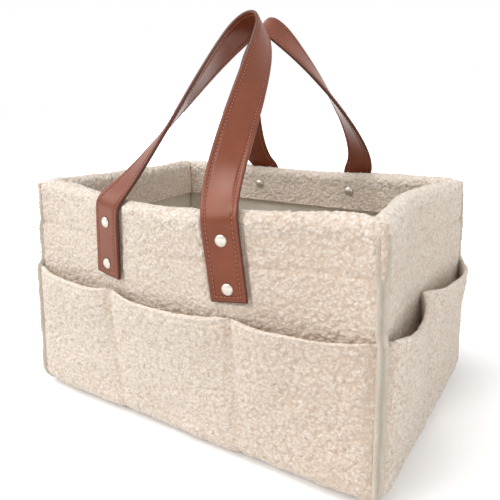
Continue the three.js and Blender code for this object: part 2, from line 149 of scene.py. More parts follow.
def value_noise(u, v, pitch, seed):
    """Smooth noise from -1 to 1."""
    fu, fv, lookup = lattice(u, v, pitch, seed, 1)
    su, sv = fu * fu * (3 - 2 * fu), fv * fv * (3 - 2 * fv)
    near = lookup(0, 0)[..., 0] * (1 - su) + lookup(1, 0)[..., 0] * su
    far = lookup(0, 1)[..., 0] * (1 - su) + lookup(1, 1)[..., 0] * su
    return 2 * (near * (1 - sv) + far * sv) - 1


def waves(u, v, seed, *scales):
    """Sum of smooth noises, each given by its height and pitch."""
    return sum(height * value_noise(u, v, pitch, seed + k) for k, (height, pitch) in enumerate(scales))


def clumps(u, v, pitch, seed):
    """Round tops of uneven height on jittered centres, from 0 to 1."""
    fu, fv, lookup = lattice(u, v, pitch, seed, 3)
    height = np.zeros(np.shape(fu))
    for du in (-1, 0, 1):
        for dv in (-1, 0, 1):
            cell = lookup(du, dv)
            distance = (du + cell[..., 0] - fu) ** 2 + (dv + cell[..., 1] - fv) ** 2
            top = LOWEST_DOME + (1 - LOWEST_DOME) * cell[..., 2]
            height = np.maximum(height, np.sqrt(np.clip(1 - distance / DOME_REACH, 0, 1)) * top)
    return height


def curls(u, v, seed):
    """Height of clumps of curls, from 0 in the gaps to about 1 on their tops."""
    u = u + CURL_WANDER * value_noise(u, v, WANDER_PITCH, seed + 1)
    v = v + CURL_WANDER * value_noise(u, v, WANDER_PITCH, seed + 2)
    coarse, fine = clumps(u, v, CLUMP, seed + 3), clumps(u, v, FINE_CLUMP, seed + 4)
    return (1 - FINE_SHARE) * coarse + FINE_SHARE * fine


# Meshes
def new_piece(name, points, faces, material, smooth=True):
    mesh = bpy.data.meshes.new(name)
    mesh.from_pydata(np.reshape(points, (-1, 3)).tolist(), [], faces)
    mesh.materials.append(material)
    mesh.polygons.foreach_set("use_smooth", np.full(len(mesh.polygons), smooth))
    mesh.update()
    piece = bpy.data.objects.new(name, mesh)
    bpy.context.scene.collection.objects.link(piece)
    return piece


def ring_faces(rings, count):
    """Quads around a run of closed rings, with a face over each end."""
    i, j = np.meshgrid(np.arange(rings - 1), np.arange(count), indexing="ij")
    a, b = i * count + j, i * count + (j + 1) % count
    faces = np.stack([a, a + count, b + count, b], axis=-1).reshape(-1, 4).tolist()
    faces.append(list(range(count)))
    faces.append([(rings - 1) * count + k for k in reversed(range(count))])
    return faces


def ring_piece(name, rings, material, turned=False):
    """Closed piece over a run of rings. Its faces look the other way if they are turned."""
    faces = ring_faces(*rings.shape[:2])
    if turned:
        faces = [face[::-1] for face in faces]
    return new_piece(name, rings, faces, material)


def set_values(piece, name, values):
    attribute = piece.data.attributes.new(name, "FLOAT", "POINT")
    attribute.data.foreach_set("value", np.ravel(values).astype(np.float32))


def set_cloth_map(piece, u, v):
    """Flat coordinates of the cloth in metres, for weaves and grain."""
    layer = piece.data.uv_layers.new(name="cloth")
    corners = np.empty(len(piece.data.loops), np.int32)
    piece.data.loops.foreach_get("vertex_index", corners)
    flat = np.column_stack([np.ravel(u), np.ravel(v)])[corners]
    layer.data.foreach_set("uv", flat.ravel().astype(np.float32))


def finish_piece(piece, slot, *nodes, body="caddy"):
    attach(piece, body)
    if nodes:
        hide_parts(*nodes)
    return piece


# Sections of cloth, as points of inset and height
def arc(inset, height, radius, start, stop, step):
    count = max(2, round(abs(math.radians(stop - start)) * radius / step))
    angle = np.radians(np.linspace(start, stop, count + 1))
    return np.column_stack([inset + radius * np.cos(angle), height + radius * np.sin(angle)])


def straight(start, stop, step):
    count = max(1, round(math.dist(start, stop) / step))
    return np.linspace(start, stop, count + 1)


def joined(*stretches):
    points = [stretches[0]]
    for stretch in stretches[1:]:
        skip = 1 if np.allclose(points[-1][-1], stretch[0]) else 0
        points.append(stretch[skip:])
    return np.concatenate(points)


def run_of(path):
    """Distance along a path at each of its points."""
    steps = np.linalg.norm(np.diff(path, axis=0), axis=1)
    return np.concatenate([[0], np.cumsum(steps)])


def sampled(stops, run, data):
    """Rows of data that are known at the distances run, read off at the stops."""
    return np.stack([np.interp(stops, run, column) for column in data.T], axis=-1)


class Wall:
    """x runs along the wall, inset counts inwards from the face of its pile cloth."""

    def __init__(self, name, length, swell, sag, middle, turn, seed):
        self.name, self.length, self.swell, self.sag, self.seed = name, length, swell, sag, seed
        self.clear = length - 2 * (CORNER + GAP)
        self.gapes = np.array(GAPES[name]) * MM
        half, seam = length / 2 - CORNER - GAP, MIDDLE_BAY / 2
        seams = [-seam, seam] if len(self.gapes) == 3 else [0]
        self.bay_ends = np.array([-half, *seams, half])
        self.middle = np.array([*middle, 0])
        along = np.array([math.cos(turn), math.sin(turn), 0])
        inwards = np.array([-math.sin(turn), math.cos(turn), 0])
        self.axes = np.stack([along, inwards, np.array([0, 0, 1])])

    def bowed(self, x, inset, z):
        """Point of the bowed wall in its own frame. Swell and sag die out before the corners."""
        x, inset, z = np.broadcast_arrays(x, inset, z)
        reach = self.length / 2 - RIM_THICKNESS
        across = np.maximum(0, 1 - (x / reach) ** 2) ** 2
        up = np.maximum(0, (z - FOOT_CENTRE) / (WALL_HEIGHT - FOOT_CENTRE))
        swell = self.swell * across * up * (1 + WALL_FULLNESS * (1 - up))
        return np.stack([x, inset - swell, z - self.sag * across * up**2], axis=-1)

    def turned(self, points):
        """Points of the wall's own frame, in the frame of the caddy."""
        return self.middle + np.asarray(points) @ self.axes

    def place(self, x, inset, z):
        return self.turned(self.bowed(x, inset, z))

    def spread(self, shares, inset, corner, mitre=MITRE_GAP):
        """x of each share of the wall's length, mitred at the ends."""
        end = np.maximum(corner, inset + mitre)
        return shares[:, None] * (self.length / 2 - end)[None, :]


WALLS = {
    "front": Wall("front", BODY_LENGTH, FRONT_SWELL, FRONT_SAG, (0, -BODY_DEPTH / 2), 0, 100),
    "back": Wall("back", BODY_LENGTH, BACK_SWELL, BACK_SAG, (0, BODY_DEPTH / 2), math.pi, 200),
    "right": Wall("right", BODY_DEPTH, -END_DIP, 0, (BODY_LENGTH / 2, 0), math.pi / 2, 300),
    "left": Wall("left", BODY_DEPTH, -END_DIP, 0, (-BODY_LENGTH / 2, 0), -math.pi / 2, 400),
}
STRAP_WALLS = ("front", "back")


# Materials
def linear(code):
    """Scene colour of a written sRGB colour."""
    parts = [int(code[i : i + 2], 16) / 255 for i in (1, 3, 5)]
    return [*(c / 12.92 if c <= 0.04045 else ((c + 0.055) / 1.055) ** 2.4 for c in parts), 1]


class Nodes:
    """Adds linked nodes to one node tree."""

    def __init__(self, tree):
        self.tree = tree

    def put(self, value, socket):
        """Links or sets a socket. Colours are written as sRGB codes."""
        if isinstance(value, bpy.types.NodeSocket):
            self.tree.links.new(value, socket)
        else:
            socket.default_value = linear(value) if isinstance(value, str) else value

    def node(self, kind, inputs=None, **settings):
        node = self.tree.nodes.new("ShaderNode" + kind)
        for key, value in settings.items():
            setattr(node, key, value)
        for socket, value in (inputs or {}).items():
            self.put(value, node.inputs[socket])
        return node

    def maths(self, operation, *values):
        return self.node("Math", dict(enumerate(values)), operation=operation).outputs[0]

    def ramp(self, value, low, high, to_low, to_high):
        inputs = {"Value": value, "From Min": low, "From Max": high, "To Min": to_low, "To Max": to_high}
        return self.node("MapRange", inputs).outputs["Result"]

    def seen(self):
        """1 for what the camera sees, also in a reflection or through something clear."""
        ray = self.node("LightPath").outputs
        direct = self.maths("MAXIMUM", ray["Is Camera Ray"], ray["Is Glossy Ray"])
        return self.maths("MAXIMUM", direct, ray["Is Transmission Ray"])


class Finish(Nodes):
    """A material built around one Principled shader."""

    def __init__(self, name, **values):
        self.material = bpy.data.materials.new(name)
        self.material.use_nodes = True
        super().__init__(self.material.node_tree)
        self.shader = self.tree.nodes["Principled BSDF"]
        for socket, value in values.items():
            self.link(value, socket.replace("_", " "))

    def link(self, value, socket):
        self.put(value, self.shader.inputs[socket])

    def place(self):
        return self.node("TexCoord").outputs["Object"]

    def cloth(self):
        return self.node("UVMap", uv_map="cloth").outputs["UV"]

    def noise(self, where, scale, detail=2.0, roughness=0.5):
        inputs = {"Vector": where, "Scale": scale, "Detail": detail, "Roughness": roughness}
        return self.node("TexNoise", inputs).outputs["Fac"]

    def cells(self, where, scale):
        return self.node("TexVoronoi", {"Vector": where, "Scale": scale}).outputs["Distance"]

    def mix(self, factor, a, b):
        sockets = {0: factor, 6: a, 7: b}
        return self.node("Mix", sockets, data_type="RGBA", clamp_factor=True).outputs[2]

    def value_of(self, attribute):
        return self.node("Attribute", attribute_name=attribute).outputs["Fac"]

    def relief(self, height, distance, strength=1.0):
        inputs = {"Height": height, "Distance": distance, "Strength": strength}
        self.link(self.node("Bump", inputs).outputs["Normal"], "Normal")


# Painted shade: the pile's hollows darken towards the right end of the front wall, standing in for the
# shadow and dimmer light there (m, from and to).
SHADE_ALONG = (0.01, 0.13)
SHADE_FRONT = (-0.103, -0.114)
SHADE_MOST = 0.25


def right_end_shade(finish, where):
    """How much darker the hollows are painted towards the right end of the front wall, as painted shade.
    """
    parts = finish.node("SeparateXYZ", {"Vector": where})
    along = finish.ramp(parts.outputs["X"], *SHADE_ALONG, 0.0, SHADE_MOST)
    return finish.maths("MULTIPLY", along, finish.ramp(parts.outputs["Y"], *SHADE_FRONT, 0.0, 1.0))


def pile_finish():
    """Cream curly pile: a pale tip on every curl, painted shade in tan down between them, softly uneven
    all over.
    """
    sheen = {"Sheen_Weight": 0.3, "Sheen_Roughness": 0.5}
    finish = Finish("curly_pile", Roughness=1.0, Specular_IOR_Level=0.1, **sheen)
    where = finish.place()
    slow = {"Vector": where, "Scale": 0.45 / CURL, "Detail": 2.0}
    drift = finish.node("TexNoise", slow).outputs["Color"]
    sway = {0: drift, 1: (1.8 * CURL,) * 3, 2: where}
    curled = finish.node("VectorMath", sway, operation="MULTIPLY_ADD").outputs["Vector"]
    curl = finish.cells(curled, 1 / CURL)
    strand = finish.cells(curled, 2.2 / CURL)
    gap = finish.maths("MULTIPLY_ADD", strand, 0.45, curl)
    clump = finish.maths("MULTIPLY", finish.value_of("pile_depth"), 0.55)
    # Painted shade: the hollows are darker towards the right end of the front wall.
    shade = finish.maths("ADD", finish.maths("ADD", gap, clump), right_end_shade(finish, where))
    patches = finish.noise(where, 28, 3)
    tips = finish.mix(patches, "#f2eadf", "#f9f1e7")
    # Painted shade: tan mixed in down between the curls and in the mesh's hollows and creases.
    painted_hollow_shade = finish.ramp(shade, 0.5, 1.4, 0.0, 0.62)
    finish.link(finish.mix(painted_hollow_shade, tips, "#c2a080"), "Base Color")
    finish.relief(finish.maths("MULTIPLY", gap, -1.0), 0.9 * MM, 0.75)
    return finish.material


def weave(finish, thread):
    """Height of a plain weave with that distance between threads."""
    parts = finish.node("SeparateXYZ", {"Vector": finish.cloth()})
    heights = []
    for axis in ("X", "Y"):
        turn = finish.maths("MULTIPLY", parts.outputs[axis], math.pi / thread)
        heights.append(finish.maths("SINE", turn))
    return finish.maths("MULTIPLY", *heights)


def woven_finish(name, light, dark, thread, strength=0.5):
    """Woven cloth with visible threads and slight patchiness."""
    finish = Finish(name, Roughness=0.92, Sheen_Weight=0.15, Specular_IOR_Level=0.25)
    threads = weave(finish, thread)
    slub = finish.noise(finish.place(), 60, 4, 0.6)
    # Painted shade and highlight: the cloth is darker down between its threads and lighter on their
    # tops.
    lit = finish.ramp(threads, -1, 1, 0.0, 0.55)
    factor = finish.maths("ADD", lit, finish.ramp(slub, 0.3, 0.7, 0.0, 0.45))
    finish.link(finish.mix(factor, dark, light), "Base Color")
    finish.relief(threads, 0.25 * MM, strength)
    return finish.material


def leather_finish():
    """Smooth brown strap leather: fine grain, slow colour changes, dark painted edges."""
    finish = Finish("strap_leather", Specular_IOR_Level=0.5, Specular_Tint="#ffe6da")
    flat = finish.cloth()
    clouds = finish.noise(flat, 35, 4, 0.55)
    grain = finish.cells(flat, 1500)
    fine = finish.noise(flat, 2600, 2, 0.6)
    hide = finish.mix(finish.ramp(clouds, 0.3, 0.7, 0, 1), "#753921", "#87452d")
    pored = finish.mix(finish.ramp(grain, 0.0, 0.35, 0.25, 0.0), hide, "#6c3524")
    # Painted shade: the leather is coloured darker down in the stitch grooves.
    groove_shade = finish.mix(finish.value_of("strap_groove"), pored, "#4c2217")
    finish.link(finish.mix(finish.value_of("strap_edge"), groove_shade, "#46231a"), "Base Color")
    finish.link(finish.ramp(clouds, 0.2, 0.8, 0.3, 0.38), "Roughness")
    finish.relief(finish.maths("ADD", grain, finish.maths("MULTIPLY", fine, 0.5)), 0.02 * MM, 0.2)
    return finish.material


def grained_finish(name, dark, light, grain, relief, **values):
    """Material with one grain that tints and lifts it, and that grain."""
    finish = Finish(name, **values)
    marks = finish.noise(finish.place(), *grain)
    finish.link(finish.mix(marks, dark, light), "Base Color")
    finish.relief(marks, *relief)
    return finish, marks


def thread_finish(name, light, dark):
    """Twisted sewing thread."""
    soft = {"Roughness": 0.6, "Sheen_Weight": 0.2}
    return grained_finish(name, dark, light, (2200, 2), (0.1 * MM, 0.5), **soft)[0].material


def nickel_finish():
    """Satin nickel with fine handling marks."""
    grain, relief = (1400, 4, 0.7), (0.02 * MM, 0.3)
    finish, marks = grained_finish("nickel", "#c8c1b6", "#dcd5ca", grain, relief, Metallic=1.0)
    finish.link(finish.ramp(marks, 0.3, 0.7, 0.3, 0.42), "Roughness")
    return finish.material


def board_finish():
    """Grey stiffening board with pressed fibres."""
    grain, relief = (420, 5, 0.7), (0.2 * MM, 0.4)
    return grained_finish("grey_board", "#a59d90", "#c4bdb0", grain, relief, Roughness=0.9)[0].material


def foam_finish():
    """Open-celled pad foam."""
    finish = Finish("pad_foam", Roughness=1.0)
    cells = finish.cells(finish.place(), 900)
    finish.link(finish.mix(cells, "#d6d2c8", "#ebe8e1"), "Base Color")
    finish.relief(cells, 0.3 * MM, 0.6)
    return finish.material


# The floor glows by itself a little near the caddy and runs out into white (m, from and to)
FLOOR_GLOW = 0.2
GLOW_RUN = (0.35, 1.2)
WHITE = (1, 1, 1, 1)


def stage_finish():
    """White floor that keeps the shadow and runs out into a white background."""
    finish = Finish("white_floor", Roughness=0.9, Emission_Color=WHITE)
    grain = finish.noise(finish.place(), 40, 2)
    finish.link(finish.mix(grain, "#f3f3f3", "#f7f7f7"), "Base Color")
    away = finish.node("VectorMath", {0: finish.place()}, operation="LENGTH").outputs["Value"]
    far = finish.ramp(away, *GLOW_RUN, FLOOR_GLOW, 1.0)
    finish.link(finish.maths("MULTIPLY", finish.seen(), far), "Emission Strength")
    return finish.material


PILE_CLOTH = pile_finish()
LINING_CLOTH = woven_finish("woven_lining", "#efe8dc", "#d5cbbb", 0.9 * MM)
BASE_CLOTH = woven_finish("base_canvas", "#c9c3b9", "#a29b90", 1.4 * MM, 0.7)
SEAM_TAPE = woven_finish("seam_tape", "#e3d9cb", "#c2b6a5", 0.8 * MM, 0.8)
HOOK_TAPE = woven_finish("hook_tape", "#ded6c9", "#b8ae9f", 1.6 * MM, 0.9)
LEATHER = leather_finish()
STRAP_THREAD = thread_finish("strap_thread", "#bd7250", "#8c4830")
SEAM_THREAD = thread_finish("seam_thread", "#dcd6cb", "#b5aea2")
NICKEL = nickel_finish()
GREY_BOARD = board_finish()
PAD_FOAM = foam_finish()


# How pile cloth is held, drawn in and rumpled. Waves are given as (height, pitch).
FRAY = 0.7 * MM
FRAY_PITCH = 2.6 * MM
RIM_EASE = (RIM_SPRING - 10 * MM, RIM_SPRING + 1 * MM)
RIM_CORNER = 2.2 * MM
RIM_DRAW = 2.1
OPENING = (FACING_FLOOR - 6 * MM, FACING_FLOOR + 4 * MM)
OPENED_INSET = 1.2 * MM
STRAP_SPARE = 2.5 * MM
STRAP_HOLD = 0.9
STRAP_PRESS = 0.5 * MM
COVER_FADE = 45 * MM
COVER_HOLD = 0.5
PLAIN_PILE = 0.85
RIM_PILE = 0.4
WALL_WAVES = ((1.1 * MM, 46 * MM), (0.4 * MM, 17 * MM))
WAVE_END = 18 * MM
CREASE_WAVE = (1.5 * MM, 30 * MM)
CREASE_WIDTH = 2.8 * MM
CREASE_PITCH = 12 * MM
CREASE_PULL = 1.3 * MM
LEAST_HEIGHT = 0.2 * MM
POCKET_LAP = 1.2 * MM
POCKET_SHIFT = 0.4
POCKET_WAVES = ((1.3 * MM, 40 * MM), (0.7 * MM, 15 * MM))
POCKET_DRAW = 1.8 * MM
DRAW_WIDTH = 3 * MM
SEWN_WIDTH = 4.5 * MM
SEWN_PINCH = 2 * MM
SEWN_PITCH = 9 * MM
HEM_RUN = (POCKET_HEIGHT - 7 * MM, POCKET_HEIGHT - 3 * MM)
COARSE_STEP = 20 * MM


# Walls of curly pile cloth
def pile_outline():
    """Face of the pile, from under the foot, up, over the rim and down the facing."""
    step, sink = PILE_STEP, PILE_SINK
    return joined(
        arc(FOOT_RADIUS, FOOT_CENTRE, FOOT_RADIUS - sink, 270, 180, step),
        straight((sink, FOOT_CENTRE), (sink, RIM_SPRING), step),
        arc(RIM_RADIUS, RIM_SPRING, RIM_RADIUS - sink, 180, 0, step),
        straight((RIM_THICKNESS - sink, RIM_SPRING), (RIM_THICKNESS - sink, FACING_FLOOR), step),
    )


def pile_backing():
    """Back of the same cloth, from the edge of the facing to the foot."""
    fold = (FACING_FACE - PILE) / 2
    return joined(
        straight((FACING_FACE, FACING_FLOOR), (FACING_FACE, RIM_SPRING), COARSE_STEP),
        arc(PILE + fold, RIM_SPRING, fold, 0, 180, 2 * MM),
        straight((PILE, RIM_SPRING), (PILE, FOOT_CENTRE), COARSE_STEP),
        arc(FOOT_RADIUS, FOOT_CENTRE, FOOT_RADIUS - PILE, 180, 270, 3 * MM),
    )


def strap_middle(z):
    """Half the distance between the two ends of a handle, which spread apart below the rim."""
    return STRAP_SPACING / 2 + STRAP_SLOPE * (HINGE_HEIGHT - z)


def under_strap(wall, x, z, spare):
    """1 where a strap end lies on the wall."""
    if wall.name not in STRAP_WALLS:
        return np.zeros(np.shape(x))
    off = np.abs(np.abs(x) - strap_middle(z)) - STRAP_WIDTH / 2
    return smoothstep(spare, 0, off) * smoothstep(STRAP_END - spare, STRAP_END, z)


def raised(points, lift):
    """Cloth moved out along its own normals, with none of it below the floor that it stands on."""
    normals = unit(np.cross(np.gradient(points, axis=0), np.gradient(points, axis=1)))
    moved = points + normals * lift[..., None]
    moved[..., 2] = np.maximum(moved[..., 2], LEAST_HEIGHT)
    return moved


def cloth_shares(wall):
    count = round((wall.length - 2 * CORNER) / PILE_STEP)
    return np.linspace(-1, 1, count + 1)


def frayed(run, seed):
    """Unevenness of a cut end of pile cloth."""
    return FRAY * value_noise(run, 0 * run, FRAY_PITCH, seed)


def facing_crease(wall, x, v, height):
    """1 in the crease where the edge of the facing shows through the wall."""
    wander = waves(x, v, wall.seed + 9, CREASE_WAVE)
    uneven = 0.65 + 0.35 * value_noise(x, v, CREASE_PITCH, wall.seed + 10)
    return bump(height - FACING_FLOOR - wander, CREASE_WIDTH) * uneven


def hidden_x(wall, shares, backing):
    """x of the points of a cloth's back or of a lining, clear of the corner seams."""
    return wall.spread(shares, backing[:, 0], np.full(len(backing), CORNER + GAP))


def pile_piece(wall, kind, face, back, depth, back_depth):
    """Closed piece of pile cloth from its curly face and its plain back."""
    piece = ring_piece(f"{wall.name}_pile_{kind}", np.concatenate([face, back], axis=1), PILE_CLOTH)
    hidden = np.full(back.shape[:2], back_depth)
    set_values(piece, "pile_depth", np.concatenate([depth, hidden], axis=1))
    return piece


def wall_panel(wall):
    face, backing = pile_outline(), pile_backing()
    run, shares = run_of(face), cloth_shares(wall)
    inset, z = face.T
    on_rim = smoothstep(*RIM_EASE, z)
    lapped = CORNER - TAPE_LAP + frayed(run, wall.seed + 11) + OPENED_INSET * smoothstep(*OPENING, z)
    x = wall.spread(shares, inset, lapped * (1 - on_rim) + RIM_CORNER * on_rim, -MITRE_LAP)
    points = wall.place(x, inset, z)

    outside = run < run[np.argmax(z)]
    v, height = run + 0 * x, z + 0 * x
    strap = np.where(outside, under_strap(wall, x, height, STRAP_SPARE), 0)
    covered = smoothstep(POCKET_HEIGHT, POCKET_HEIGHT - COVER_FADE, height) * outside
    held = (1 - STRAP_HOLD * strap) * (1 - COVER_HOLD * covered) * (PLAIN_PILE + RIM_PILE * on_rim)
    curl = curls(x, v, wall.seed) * held
    crease = facing_crease(wall, x, v, height) * outside
    to_end = x[-1] - np.abs(x)
    soft = waves(x, v, wall.seed + 7, *WALL_WAVES) * smoothstep(0, WAVE_END, to_end) * (1 - strap)
    drawn = (0.5 + RIM_DRAW * on_rim) * MM * bump(to_end, (2.5 + 2 * on_rim) * MM)
    lift = PILE_RELIEF * curl + soft - CREASE_PULL * crease - drawn - STRAP_PRESS * strap
    points = raised(points, lift)

    back = wall.place(hidden_x(wall, shares, backing), *backing.T)
    # Painted shade: the pile is coloured darker in its hollows and along the facing's crease.
    piece = pile_piece(wall, "wall", points, back, 1 - curl + 0.25 * crease, 0.5)
    finish_piece(piece, "pile", f"{wall.name}_panel")


# Pockets
def pocket_outline():
    step, sink = PILE_STEP, PILE_SINK
    hem = POCKET / 2
    outside = -GAP - POCKET + sink
    hem_height = POCKET_HEIGHT - hem
    return joined(
        arc(FOOT_RADIUS, FOOT_CENTRE, POCKET_RADIUS - sink, 270, 180, step),
        straight((outside, FOOT_CENTRE), (outside, hem_height), step),
        arc(-GAP - hem, hem_height, hem - 0.4 * sink, 180, 0, 0.7 * step)[1:],
    )


def pocket_backing():
    hem_height = POCKET_HEIGHT - POCKET
    inner = POCKET_RADIUS - POCKET
    return joined(
        straight((-GAP, hem_height), (-GAP, FOOT_CENTRE), 8 * MM),
        arc(FOOT_RADIUS, FOOT_CENTRE, inner, 180, 270, 3 * MM),
    )


def bay_place(wall, x):
    """Place in its bay of each point, from 0 to 1, the distance to the nearest seam, and the gape."""
    bay = np.clip(np.searchsorted(wall.bay_ends, x) - 1, 0, len(wall.gapes) - 1)
    length = np.diff(wall.bay_ends)[bay]
    along = np.clip((x - wall.bay_ends[bay]) / length, 0, 1)
    return along, np.minimum(along, 1 - along) * length, wall.gapes[bay]


def pocket_bend(wall, x, inset, z):
    along, _, gape = bay_place(wall, x)
    across = 1 - np.abs(2 * along - 1) ** 3
    up = np.maximum(0, (z - FOOT_CENTRE) / (POCKET_HEIGHT - FOOT_CENTRE))
    return inset - gape * across * up**1.2, z - SAG_PER_GAPE * gape * across * up


def wall_pocket(wall):
    face, backing = pocket_outline(), pocket_backing()
    run, shares = run_of(face), cloth_shares(wall)
    corner = CORNER - TAPE_LAP - POCKET_LAP + frayed(run, wall.seed + 24)
    x = wall.spread(shares, face[:, 0], corner, -MITRE_LAP)
    points = wall.place(x, *pocket_bend(wall, x, *face.T))

    v, height = run + POCKET_SHIFT + 0 * x, face[:, 1] + 0 * x
    sewn = bump(bay_place(wall, x)[1], SEWN_WIDTH)
    flat_hem = 1 - 0.5 * smoothstep(*HEM_RUN, height)
    curl = curls(x, v, wall.seed + 20) * (1 - 0.25 * sewn) * flat_hem
    soft = waves(x, v, wall.seed + 21, *POCKET_WAVES) * (1 - sewn) * flat_hem
    tight = 0.75 + 0.25 * value_noise(x, v, SEWN_PITCH, wall.seed + 23)
    up = smoothstep(FOOT_CENTRE, POCKET_HEIGHT, height)
    pinch = SEWN_PINCH * sewn * tight * (0.5 + 0.5 * up)
    pinch += POCKET_DRAW * bump(x[-1] - np.abs(x), DRAW_WIDTH)
    points = raised(points, PILE_RELIEF * curl + soft - pinch)

    back_x = hidden_x(wall, shares, backing)
    back = wall.place(back_x, *pocket_bend(wall, back_x, *backing.T))
    # Painted shade in the pile's hollows, fading out on the smoother hem.
    depth = (1 - curl) * (1 - 0.6 * smoothstep(*HEM_RUN, height))
    piece = pile_piece(wall, "pocket", points, back, depth, 0.7)
    finish_piece(piece, "pile", f"{wall.name}_pocket")


# Woven lining
LINING_STEP = 3 * MM
LINING_SLACK = 0.3 * MM
LINING_END = 12 * MM
LINING_FOLD = (0.5 * MM, 24 * MM)
LINING_CREASE = (0.25 * MM, 8 * MM)


def wall_lining(wall):
    low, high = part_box(f"{wall.name}_lining")
    heights = np.arange(low.z, high.z, LINING_STEP)
    face = np.column_stack([np.full(len(heights), INNER_FACE), heights])
    back = np.column_stack([np.full(2, LINING_FACE), heights[[-1, 0]]])
    path = np.concatenate([face, back])
    shares = np.linspace(-1, 1, round(wall.length / LINING_STEP))
    x = hidden_x(wall, shares, path)
    z = path[:, 1] + 0 * x
    creases = waves(x + 0.4 * z, z, wall.seed + 30, LINING_FOLD)
    creases += waves(x, z, wall.seed + 31, LINING_CREASE)
    creases[:, len(face) :] = 0
    creases *= smoothstep(0, LINING_END, x[-1] - np.abs(x))
    points = wall.place(x, path[:, 0] + creases - LINING_SLACK * (creases != 0), z)
    piece = ring_piece(f"{wall.name}_woven_lining", points, LINING_CLOTH, turned=True)
    set_cloth_map(piece, x, z)
    finish_piece(piece, "lining", f"{wall.name}_lining")


# Strap handles
POSTURES = {
    "front": {"crown_to_middle": 5, "shift": 6, "crown_half": 27, "shoulder_half": 31, "shoulder": 0.19},
    "back": {"crown_to_middle": 24, "shift": 2, "crown_half": 17, "shoulder_half": 86, "shoulder": 0.2},
}
ROOT_SHARE = 0.2
TWIST_SHARE = 0.82
LEG_COUNT = 150
TAB_COUNT = 60
NUDGE = 0.5 * MM
SAME_SPOT = 1e-6
STRAP_STEP = 1.5 * MM
STRAP_EASE = 1.1 * MM
STRAP_WAVE = (0.18 * MM, 26 * MM)
DIMPLE_WIDTH = 5 * MM
DIMPLE_DEPTH = 0.3 * MM
EDGE_PAINT = (1.1 * MM, 0.2 * MM)
END_PAINT = 0.8 * MM
GROOVE_WIDTH = 0.9 * MM
GROOVE_DEPTH = 0.4 * MM
STITCH_INSET = 4 * MM
STITCH_PITCH = 3.2 * MM
STITCH_RADIUS = 0.5 * MM
STITCH_SINK = 0.15 * MM


def bezier(points, t):
    a, b, c, d = (np.array(p)[None, :] for p in points)
    t = t[:, None]
    place = a * (1 - t) ** 3 + 3 * b * t * (1 - t) ** 2 + 3 * c * t**2 * (1 - t) + d * t**3
    slope = 3 * ((b - a) * (1 - t) ** 2 + 2 * (c - b) * t * (1 - t) + (d - c) * t**2)
    return place, unit(slope)


def loop_leg(wall, sign):
    """Middle line and outward face of one leg, from the rim to the crown, in the wall's frame."""
    posture, x_hinge = POSTURES[wall.name], STRAP_SPACING / 2
    _, hinge_y, hinge_z = wall.bowed(x_hinge, -STRAP_FACE, HINGE_HEIGHT)
    reach = BODY_DEPTH / 2 - posture["crown_to_middle"] * MM - hinge_y
    lean, height = math.atan2(reach, HANDLE_RISE), math.hypot(reach, HANDLE_RISE)
    up = np.array([0, math.sin(lean), math.cos(lean)])
    out = np.array([0, -math.cos(lean), math.sin(lean)])
    origin = np.array([0, hinge_y, hinge_z]) - out * STRAP / 2
    rise = (STRAP * math.sin(lean) + GAP) / math.cos(lean)
    shift = posture["shift"] * MM
    t = np.linspace(0, 1, LEG_COUNT)
    start, crown = (sign * x_hinge, rise), (shift, height)
    shoulder = (sign * posture["shoulder_half"] * MM, height * posture["shoulder"])
    bow = (shift + sign * posture["crown_half"] * MM, height)
    flat, tangent = bezier([start, shoulder, bow, crown], t)
    settled = smoothstep(0, ROOT_SHARE, t)[:, None]
    tangent = np.array([0, 1]) * (1 - settled) + tangent * settled
    tangent = -sign * unit(tangent)
    turn = math.pi / 2 * np.maximum(0, 1 - t / TWIST_SHARE)[:, None]
    across = np.array([1, 0, 0])
    outward = -tangent[:, 1:] * across + tangent[:, :1] * up
    face = outward * np.cos(turn) + out * np.sin(turn)
    middle = origin + flat[:, :1] * across + flat[:, 1:] * up
    return (middle, face) if sign < 0 else (middle[::-1], face[::-1])


def wall_facing(spot):
    """Unit vectors along a wall and out of it, where spot(dx, dz) gives places near by."""
    along = unit(spot(NUDGE, 0) - spot(-NUDGE, 0))
    return along, unit(np.cross(along, spot(0, NUDGE) - spot(0, -NUDGE)))


def strap_tab(wall, sign):
    """Middle line and face of a riveted end, from the cut end up to the bend."""
    z = np.linspace(STRAP_END, HINGE_HEIGHT - 1 * MM, TAB_COUNT)
    x = sign * strap_middle(z)

    def spot(dx, dz):
        return wall.bowed(x + dx, -STRAP_GAP - STRAP / 2, z + dz)

    middle, face = spot(0, 0), wall_facing(spot)[1]
    return (middle, face) if sign < 0 else (middle[::-1], face[::-1])


def evenly(points, values, step):
    """The same line sampled at even steps, with values carried along."""
    run = run_of(points)
    stops = np.linspace(0, run[-1], round(run[-1] / step) + 1)
    return sampled(stops, run, points), sampled(stops, run, values), stops


def softened(data, width):
    """Gaussian smoothing along a line, with its ends carried on straight."""
    reach = 4 * width
    before = 2 * data[0] - data[reach:0:-1]
    after = 2 * data[-1] - data[-2 : -reach - 2 : -1]
    padded = np.concatenate([before, data, after])
    weights = np.exp(-0.5 * (np.arange(-reach, reach + 1) / width) ** 2)
    weights /= weights.sum()
    return np.column_stack([np.convolve(column, weights, "valid") for column in padded.T])


def strap_line(wall):
    """Middle, direction, face and across vectors all along a strap, tab to tab."""
    parts = [strap_tab(wall, -1), loop_leg(wall, -1), loop_leg(wall, 1), strap_tab(wall, 1)]
    middle, face = (np.concatenate(part) for part in zip(*parts))
    keep = np.concatenate([[True], np.linalg.norm(np.diff(middle, axis=0), axis=1) > SAME_SPOT])
    middle, face, stops = evenly(middle[keep], face[keep], STRAP_STEP)
    middle, face = softened(middle, 3), softened(face, 4)
    along = unit(np.gradient(middle, axis=0))
    face = unit(face - along * np.sum(face * along, axis=1, keepdims=True))
    return middle, along, face, np.cross(face, along), stops


